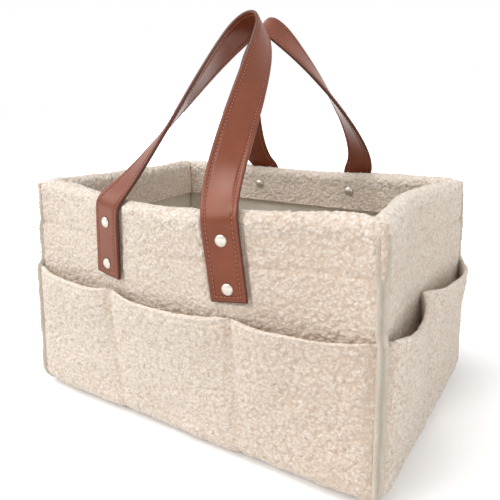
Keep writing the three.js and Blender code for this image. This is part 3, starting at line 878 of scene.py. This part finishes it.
def strap_section():
    """Across and out of a strap's section, walking round it, with softly rounded edges."""
    flat, thick = STRAP_WIDTH / 2 - STRAP_EASE, STRAP / 2
    stations = np.linspace(-flat, flat, 45)
    edge = np.radians([60, 30, 0, -30, -60])
    top = np.column_stack([stations, np.full(len(stations), thick)])
    right = np.column_stack([flat + STRAP_EASE * np.cos(edge), thick * np.sin(edge)])
    return np.concatenate([top, right, -top, -right])


def strap_groove(stops, across):
    """1 in the grooves that the stitches lie in: along both edges and across the cut ends."""
    to_edge = STRAP_WIDTH / 2 - np.abs(across)
    from_end = np.minimum(stops, stops[-1] - stops)
    along = bump(to_edge - STITCH_INSET, GROOVE_WIDTH) * (from_end > STITCH_INSET - 1 * MM)
    return np.maximum(along, bump(from_end - STITCH_INSET, GROOVE_WIDTH) * (to_edge > STITCH_INSET))


def strap_relief(stops, across, out):
    """Grooves under the stitches, dimples at the rivets and slight unevenness."""
    from_end = np.minimum(stops, stops[-1] - stops) + STRAP_END
    dimple = sum(bump(np.hypot(from_end - z, across), DIMPLE_WIDTH) for z in RIVET_HEIGHTS.values())
    flat_side = np.abs(out) > 0.9 * STRAP / 2
    sunk = GROOVE_DEPTH * strap_groove(stops, across) + DIMPLE_DEPTH * dimple * (out > 0)
    return np.where(flat_side, waves(stops, across, 51, STRAP_WAVE) - sunk, 0)


def strap_handle(wall):
    line = strap_line(wall)
    middle, along, face, side, stops = line
    section = strap_section()
    across, out = (part + 0 * stops[:, None] for part in section.T)
    run = stops[:, None] + 0 * across
    relief = strap_relief(run, across, out)
    end = np.minimum(stops, stops[-1] - stops)[:, None]
    eased = 1 - 0.25 * smoothstep(0.9 * MM, 0, end)
    height = out * eased + np.sign(out) * relief
    points = middle[:, None] + side[:, None] * across[..., None] + face[:, None] * height[..., None]
    piece = ring_piece(f"{wall.name}_strap_handle", wall.turned(points), LEATHER)
    set_cloth_map(piece, across, run)
    to_edge = STRAP_WIDTH / 2 - np.abs(across)
    edge = np.maximum(smoothstep(*EDGE_PAINT, to_edge), smoothstep(END_PAINT, 0, end + 0 * across))
    set_values(piece, "strap_edge", edge * 0.85)
    # Painted shade for the stitch grooves, read by the leather's colour.
    set_values(piece, "strap_groove", 0.6 * strap_groove(run, across))
    nodes = [f"{wall.name}_handle", f"{wall.name}_left_strap_end", f"{wall.name}_right_strap_end"]
    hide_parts(*nodes)
    bend_with_handle(piece, wall)
    return line


def bend_with_handle(piece, wall):
    """Bakes the piece's placement into its mesh."""
    _, y, z = wall.place(STRAP_SPACING / 2, -STRAP_FACE, HINGE_HEIGHT)
    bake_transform(piece)


def stitch_mesh(spots, length, radius):
    """Points and faces of small rounded stitches at (middle, direction, face) spots."""
    turns = np.radians(np.arange(0, 360, 60))
    stations = np.array([-0.5, -0.42, -0.2, 0.2, 0.42, 0.5]) * length
    girth = np.array([0.35, 0.8, 1, 1, 0.8, 0.35]) * radius
    dip = np.array([-0.9, -0.4, 0, 0, -0.4, -0.9]) * radius
    middle, along, face = (np.array(part)[:, None, None] for part in zip(*spots))
    wide = np.outer(girth, np.cos(turns))[..., None]
    high = (dip[:, None] + np.outer(girth, np.sin(turns)))[..., None]
    points = middle + along * stations[:, None, None] + np.cross(face, along) * wide + face * high
    one = ring_faces(len(stations), len(turns))
    starts = range(0, points.size // 3, wide.size)
    return points.reshape(-1, 3), [[start + k for k in ring[::-1]] for start in starts for ring in one]


def strap_stitches(wall, line):
    stops = line[-1]
    edge, lift = STRAP_WIDTH / 2 - STITCH_INSET, STRAP / 2 - STITCH_SINK

    def at(run, across, out, crosswise=False):
        centre, ahead, outward, beside = (sampled(run, stops, part) for part in line[:4])
        direction = beside if crosswise else ahead
        return centre + beside * across + outward * out, direction, outward * np.sign(out)

    spots = []
    for run in np.arange(STITCH_INSET, stops[-1] - STITCH_INSET, STITCH_PITCH) + STITCH_PITCH / 2:
        spots += [at(run, across, out) for across in (-edge, edge) for out in (-lift, lift)]
    for run in (STITCH_INSET, stops[-1] - STITCH_INSET):
        for across in np.arange(-edge + STITCH_PITCH / 2, edge, STITCH_PITCH):
            spots.append(at(run, across, lift, crosswise=True))
    points, faces = stitch_mesh(spots, 0.72 * STITCH_PITCH, STITCH_RADIUS)
    piece = new_piece(f"{wall.name}_strap_stitches", wall.turned(points), faces, STRAP_THREAD)
    bend_with_handle(piece, wall)


# Rivets
CAP_RADIUS = 4.3 * MM
CAP_HEIGHT = 1.8 * MM
CAP_LIP = 0.5 * MM
CAP_SINK = 0.1 * MM
CAP_SIDES = 40
POST = 1.6 * MM
POST_SPARE = 1.4 * MM


def lathe(profile, sides):
    turn = np.linspace(0, 2 * math.pi, sides, endpoint=False)
    radius, height = profile[:, :1], profile[:, 1:]
    return np.stack([radius * np.cos(turn), height + 0 * turn, radius * np.sin(turn)], axis=-1)


def dome_profile(seat, direction):
    """Cap with a thin turned lip and a low dome, from its rim to its middle."""
    radius, lip, foot = CAP_RADIUS, CAP_LIP, 0.9 * CAP_LIP
    turn = np.radians(np.linspace(0, 88, 14))
    dome = np.column_stack([0.94 * radius * np.cos(turn), foot + (CAP_HEIGHT - foot) * np.sin(turn)])
    rim = np.array([[0.93 * radius, 0], [radius, 0.15 * lip], [radius, 0.7 * lip], [0.97 * radius, lip]])
    return np.concatenate([rim, dome]) * [1, direction] + [0, seat]


def rivet_profiles(depth):
    """Outer cap with its post, and inner cap, through a wall of that depth."""
    seat, inner_seat = STRAP_FACE - CAP_SINK, -(depth + GAP)
    outer = np.concatenate([[[POST, -depth - POST_SPARE], [POST, seat]], dome_profile(seat, 1)])
    inner = np.concatenate([[[POST + GAP, inner_seat]], dome_profile(inner_seat, -1)])
    return ("rivet", outer, True), ("rivet_inner", inner, False)


def add_rivet(wall, side, row, x, z):
    def spot(dx, dz):
        return wall.place(x + dx, 0.0, z + dz)

    along, out = wall_facing(spot)
    axes = np.stack([along, out, np.cross(along, out)])
    depth = INNER_FACE if row == "lower" else RIM_THICKNESS
    for kind, profile, turned in rivet_profiles(depth):
        node = f"{kind}_{wall.name}_{side}_{row}"
        points = spot(0, 0) + lathe(profile, CAP_SIDES) @ axes
        finish_piece(ring_piece(f"{node}_cap", points, NICKEL, turned), "rivet", node)


def add_rivets(wall):
    for side, sign in SIDES.items():
        for row, z in RIVET_HEIGHTS.items():
            add_rivet(wall, side, row, sign * strap_middle(z), z)


# Bound corner seams
SEAM_PITCH = 4.2 * MM
SEAM_GROOVE = 2 * MM
SEAM_FOOT = 1.2 * MM
SEAM_TOP = RIM_SPRING + 1 * MM
SEAM_STEP = 1 * MM
SEAM_SPREAD = 1.4 * MM
LEAST_TAPE = 0.45
TOP_TUCK = 8 * MM
OVER_POCKET = 2.6 * MM
POCKET_EASE = 6 * MM
PUCKER = 0.25 * MM
PUCKER_WAVE = (0.5 * MM, 6 * MM)
SEAM_STITCH = (3 * MM, 0.45 * MM)
THREAD_LIFT = 0.3 * MM
TUFT_FOOT = FACING_FLOOR - 3 * MM
TUFT_TOP = RIM_SPRING + 5 * MM
TUFT_STEP = 0.7 * MM
TUFT_HALF = 1.8 * MM
TUFT_CLOTH = 4 * MM
TUFT_INSET = 2.6 * MM
TUFT_TAPER = 9 * MM
LEAST_TUFT = 0.6 * MM


def corner_points(signs, first, second, z):
    """Points of the caddy from their insets behind the two walls that meet in a corner."""
    x, y = signs[0] * (BODY_LENGTH / 2 - first), signs[1] * (BODY_DEPTH / 2 - second)
    return np.stack(np.broadcast_arrays(x, y, z), axis=-1)


def seam_outline(opened):
    """Visible side of the tape in its corner's frame: rib, groove, rib. Its edges are tucked in."""
    t = np.linspace(0, 1, 15)[:, None]
    crest = np.array([(0.5 + 0.7 * opened) * CORNER, -1.4 * SEAM_PROUD])
    tuck = np.array([CORNER + SEAM_SPREAD + opened * MM, SEAM_SPREAD])
    groove = np.array([1, 1]) * (SEAM_GROOVE + OPENED_INSET * opened)
    first = (1 - t) ** 2 * tuck + 2 * t * (1 - t) * crest + t**2 * groove
    return np.concatenate([first, first[-2::-1, ::-1], [[CORNER, CORNER]]])


def seam_course(z):
    """Share of the tape's section that is left at each height, how far it stands out, and its pucker."""
    below = np.maximum(0, FOOT_CENTRE - z)
    curl = POCKET_RADIUS - np.sqrt(POCKET_RADIUS**2 - np.minimum(below, 0.99 * POCKET_RADIUS) ** 2)
    keep = np.maximum(LEAST_TAPE, 1 - curl / (CORNER + SEAM_PROUD))
    keep = keep * (1 - 0.6 * smoothstep(SEAM_TOP - TOP_TUCK, SEAM_TOP, z) ** 2)
    over = OVER_POCKET * smoothstep(POCKET_HEIGHT + POCKET_EASE, POCKET_HEIGHT - POCKET_EASE, z)
    pucker = PUCKER * np.sin(2 * math.pi * z / SEAM_PITCH) + waves(z, 0 * z, 61, PUCKER_WAVE)
    return keep, over * keep - np.maximum(0, curl - POCKET), pucker


def corner_seam(name, signs):
    z = np.arange(SEAM_FOOT, SEAM_TOP, SEAM_STEP)
    rings = []
    for level, opened, share, out, pinch in zip(z, smoothstep(*OPENING, z), *seam_course(z)):
        ring = seam_outline(opened)
        spot = CORNER - (CORNER - ring) * share - out
        rib = np.sin(math.pi * np.abs(np.linspace(-1, 1, len(ring) - 1)))
        spot[:-1] -= 0.8 * pinch * rib[:, None]
        spot[-1] = CORNER + max(0, -out)
        rings.append(corner_points(signs, spot[:, 0], spot[:, 1], level))
    rings = np.array(rings)
    piece = ring_piece(f"{name}_seam_tape", rings, SEAM_TAPE, signs[0] * signs[1] < 0)
    width = run_of(seam_outline(0))
    set_cloth_map(piece, width + 0 * rings[..., 2], rings[..., 2])
    finish_piece(piece, "seam_tape", f"{name}_corner_seam")


def corner_stitches(name, signs):
    up, out = np.array([0, 0, 1.0]), np.array([*signs, 0]) / math.sqrt(2)
    spots = []
    for level in np.arange(FOOT_CENTRE, OPENING[0], SEAM_PITCH):
        inset = SEAM_GROOVE - THREAD_LIFT - (0 if level > POCKET_HEIGHT else OVER_POCKET)
        spots.append((corner_points(signs, inset, inset, level), up, out))
    points, faces = stitch_mesh(spots, *SEAM_STITCH)
    finish_piece(new_piece(f"{name}_seam_stitches", points, faces, SEAM_THREAD), "seam_tape")


def corner_tuft(name, signs):
    """Pile that swells out between the two ribs of a corner's tape, below the rim."""
    z = np.arange(TUFT_FOOT, TUFT_TOP, TUFT_STEP)[:, None]
    t = np.linspace(-1, 1, 13)[None, :]
    taper = np.sqrt(smoothstep(TUFT_FOOT, TUFT_FOOT + TUFT_TAPER, z))
    curl = curls(TUFT_CLOTH * t + 0 * z, z + 0 * t, 67)
    out = (LEAST_TUFT + PILE_RELIEF * curl) * (1 - t**2) * taper
    across, inset = TUFT_HALF * t * taper, TUFT_INSET - 0.7 * out
    keel = np.full_like(z, CORNER)
    first, second = np.hstack([inset + across, keel]), np.hstack([inset - across, keel])
    rings = corner_points(signs, first, second, z)
    piece = ring_piece(f"{name}_corner_tuft", rings, PILE_CLOTH, signs[0] * signs[1] > 0)
    # Painted shade: the tuft is coloured darker than the walls, down in the groove between the tape's
    # ribs, and darker still in its hollows.
    set_values(piece, "pile_depth", np.hstack([1.2 - 0.8 * curl, np.ones_like(z)]))
    finish_piece(piece, "pile")


# Base
def eased_outline(half, ease, count):
    """Rounded rectangle about the origin, evenly sampled."""
    half, corner, parts = np.array(half), np.radians(np.linspace(0, 90, 9)), []
    for quarter, signs in enumerate(((1, 1), (-1, 1), (-1, -1), (1, -1))):
        angle = corner + quarter * math.pi / 2
        turn = ease * np.column_stack([np.cos(angle), np.sin(angle)])
        parts.append(np.array(signs) * (half - ease) + turn)
    closed = np.concatenate([*parts, parts[0][:1]])
    run = run_of(closed)
    stops = np.linspace(0, run[-1], count, endpoint=False)
    return sampled(stops, run, closed)


BASE_EASE = 12 * MM
BASE_AROUND = 260
BASE_WAVES = ((0.6, 50 * MM), (0.4, 16 * MM))
SMALLEST_RING = 0.02


def soft_edge(low, high):
    """Heights and sizes of a sheet's rings, from under its middle out and up round its edge."""
    under = [(0, size) for size in np.linspace(SMALLEST_RING, 0.99, 10)]
    edge = [(0, 0.996), (0.15, 0.999), (0.5, 1), (0.85, 0.999), (1, 0.996)]
    return [(low + up * (high - low), size) for up, size in under + edge]


def base_piece(node, name, material, slot, wrinkle):
    """Sheet or pad over the base, with soft edges and a slightly uneven top."""
    low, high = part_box(node)
    outline = eased_outline((high.x, high.y), BASE_EASE, BASE_AROUND)
    rings = []
    for z, share in soft_edge(low.z, high.z):
        rings.append(np.column_stack([outline * share, np.full(len(outline), z)]))
    for share in np.linspace(1, SMALLEST_RING, 30)[1:]:
        flat = outline * share
        uneven = waves(flat[:, 0], flat[:, 1], 71, *BASE_WAVES)
        rings.append(np.column_stack([flat, high.z + wrinkle * uneven * min(1, (1 - share) * 6)]))
    rings = np.array(rings)
    piece = ring_piece(name, rings, material, turned=True)
    set_cloth_map(piece, rings[..., 0], rings[..., 1])
    return finish_piece(piece, slot, node), 2 * np.abs(outline).max(0)


def add_base():
    cover, size = base_piece("base_cover", "base_canvas", BASE_CLOTH, "base_cloth", 0.0)
    pad, _ = base_piece("base_pad", "base_foam", PAD_FOAM, "foam", 0.15 * MM)
    lining, size = base_piece("base_lining", "floor_lining", LINING_CLOTH, "lining", 0.3 * MM)


# Dividers
DIVIDER_X = 54 * MM
DIVIDER = 6 * MM
DIVIDER_REACH = 96 * MM
DIVIDER_CLEARANCE = 0.6 * MM
DIVIDER_EASE = 2.4 * MM
DIVIDER_PUFF = 0.6 * MM
DIVIDER_WAVE = (0.4 * MM, 30 * MM)
PIPING_INSET = 7 * MM
PIPING_WIDTH = 1.5 * MM
PUFF_RUN = (3 * MM, 14 * MM)
PUFF_FOOT = 12 * MM
FLAP_LENGTH = 24 * MM
FLAP_MARGIN = 12 * MM
HOOK = 1 * MM
FLAP = 2 * MM
FLAP_INSET = HOOK + GAP


def rounded_box(x_ends, near, far, z_ends, ease, around, levels):
    """Rings of a closed box with eased edges. near(z) and far(z) give its faces in y."""
    turn = np.radians(np.linspace(0, 90, 6))
    lift = ease * (1 - np.cos(turn))
    straight_part = np.linspace(z_ends[0] + ease, z_ends[1] - ease, levels)[1:-1]
    z = np.concatenate([z_ends[0] + lift, straight_part, z_ends[1] - lift[::-1]])
    inside = np.maximum(0, np.maximum(z_ends[0] + ease - z, z - z_ends[1] + ease))
    draw = ease - np.sqrt(np.maximum(0, ease**2 - inside**2))
    x_half, x_middle = (x_ends[1] - x_ends[0]) / 2, (x_ends[1] + x_ends[0]) / 2
    y_half, y_middle = (far(z) - near(z)) / 2, (far(z) + near(z)) / 2
    outline = eased_outline((x_half, y_half.mean()), ease, around)
    x = x_middle + outline[None, :, 0] * ((x_half - draw) / x_half)[:, None]
    y = y_middle[:, None] + outline[None, :, 1] * ((y_half - draw) / y_half.mean())[:, None]
    return np.stack([x, y, np.broadcast_to(z[:, None], x.shape)], axis=-1)


def edge_line(wall, spare, z_ends):
    """Straight line of y over z that a divider's edge keeps from the lining of a wall."""
    inset = INNER_FACE + DIVIDER_CLEARANCE + spare
    ends = [float(wall.place(DIVIDER_REACH, inset, level)[1]) for level in z_ends]
    return lambda z: np.interp(z, z_ends, ends)


def add_divider(side, sign):
    node = f"{side}_divider"
    low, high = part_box(node)
    z_ends = (low.z, high.z)
    near, far = (edge_line(WALLS[name], FLAP_INSET, z_ends) for name in STRAP_WALLS)
    x_ends = (sign * DIVIDER_X - DIVIDER / 2, sign * DIVIDER_X + DIVIDER / 2)
    rings = rounded_box(x_ends, near, far, z_ends, DIVIDER_EASE, 150, 36)
    x, y, z = rings[..., 0], rings[..., 1], rings[..., 2]
    outwards = np.sign(x - sign * DIVIDER_X)
    to_edge = np.minimum(np.minimum(y - near(z), far(z) - y), high.z - z)
    puff = smoothstep(*PUFF_RUN, to_edge) * smoothstep(0, PUFF_FOOT, z - low.z)
    soft = DIVIDER_PUFF + waves(y, z, 81 + sign, DIVIDER_WAVE)
    seam = DIVIDER_PUFF * bump(to_edge - PIPING_INSET, PIPING_WIDTH)
    rings[..., 0] += outwards * (soft * puff - seam)
    piece = ring_piece(f"{side}_padded_divider", rings, LINING_CLOTH)
    set_cloth_map(piece, y + x, z)
    finish_piece(piece, "lining", node, body=node)
    for end in STRAP_WALLS:
        add_flap(side, sign, end, z_ends)


def add_flap(side, sign, end, z_ends):
    """Flap sewn to the divider's edge, and the hook tape between it and the lining."""
    body, flap_name = f"{side}_divider", f"{side}_{end}_divider_flap"
    tall = (z_ends[0] + FLAP_MARGIN, z_ends[1] - FLAP_MARGIN)
    x_ends = sorted((sign * (DIVIDER_X + DIVIDER / 3), sign * (DIVIDER_X + DIVIDER / 2 + FLAP_LENGTH)))

    def slab(name, spare, thick, material):
        sides = [edge_line(WALLS[end], s, z_ends) for s in (spare, spare + thick)]
        near, far = sides if end == "front" else sides[::-1]
        rings = rounded_box(x_ends, near, far, tall, 0.45 * thick, 60, 40)
        piece = ring_piece(name, rings, material)
        set_cloth_map(piece, rings[..., 0] + rings[..., 1], rings[..., 2])
        return piece

    flap = finish_piece(slab(flap_name, FLAP_INSET, FLAP, LINING_CLOTH), "lining", body=body)
    tape = slab(f"{side}_{end}_hook_tape", 0, HOOK, HOOK_TAPE)
    finish_piece(tape, "hook", f"{side}_divider_hook_{end}", body=body)


def add_boards():
    for name in ("front", "back", "left", "right", "base"):
        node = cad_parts[f"{name}_board"]
        node.data.materials.clear()
        node.data.materials.append(GREY_BOARD)


# Stage, light and camera. Each sun has a strength, a place that it shines from and a spread in degrees.
FLOOR_HALF = 12.0
FLOOR_DROP = 0.2 * MM
SKY_LEVEL = 0.5
SUNS = {
    "key": (1.5, (-0.6, -0.5, 0.75), 50),
    "top": (0.9, (-0.12, -0.24, 0.96), 22),
    "fill": (0.52, (0.9, -0.35, 0.5), 70),
}


def add_stage():
    corners = [(*(FLOOR_HALF * np.array(signs)), -FLOOR_DROP) for signs in CORNERS.values()]
    floor = new_piece("floor", np.array(corners), [[0, 1, 2, 3]], stage_finish(), smooth=False)

    world = bpy.data.worlds.new("studio")
    bpy.context.scene.world = world
    world.use_nodes = True
    sky = Nodes(world.node_tree)
    background = sky.tree.nodes["Background"].inputs
    sky.put(WHITE, background["Color"])
    sky.put(sky.ramp(sky.seen(), 0, 1, SKY_LEVEL, 1.0), background["Strength"])


def add_lights():
    for name, (level, source, spread) in SUNS.items():
        data = bpy.data.lights.new(name, "SUN")
        data.energy = level
        data.angle = math.radians(spread)
        lamp = bpy.data.objects.new(name, data)
        lamp.rotation_euler = Vector(source).to_track_quat("Z", "Y").to_euler()
        bpy.context.scene.collection.objects.link(lamp)


# The camera stands to the right of the front, a little above the rim
CAMERA_PLACE = (0.2614, -0.4204, 0.2610)
CAMERA_YAW = math.radians(-32.2)
CAMERA_PITCH = math.radians(9.2)
CAMERA_LENS = 39.5
CAMERA_SHIFT = -0.116


def add_camera():
    data = bpy.data.cameras.new("camera")
    data.sensor_width = 36
    data.lens = CAMERA_LENS
    data.shift_y = CAMERA_SHIFT
    data.clip_start = 0.01
    camera = bpy.data.objects.new("camera", data)
    forward = Vector((
        math.sin(CAMERA_YAW) * math.cos(CAMERA_PITCH),
        math.cos(CAMERA_YAW) * math.cos(CAMERA_PITCH),
        -math.sin(CAMERA_PITCH),
    ))
    camera.matrix_world = (
        Matrix.Translation(CAMERA_PLACE) @ forward.to_track_quat("-Z", "Y").to_matrix().to_4x4()
    )
    bpy.context.scene.collection.objects.link(camera)
    bpy.context.scene.camera = camera


add_camera()
add_stage()
add_lights()
for wall in WALLS.values():
    wall_panel(wall)
    wall_pocket(wall)
    wall_lining(wall)
for name in STRAP_WALLS:
    line = strap_handle(WALLS[name])
    strap_stitches(WALLS[name], line)
    add_rivets(WALLS[name])
for name, signs in CORNERS.items():
    corner_seam(name, signs)
    corner_stitches(name, signs)
    corner_tuft(name, signs)
add_base()
add_boards()
for side, sign in SIDES.items():
    add_divider(side, sign)

bpy.context.scene.view_settings.view_transform = "Standard"
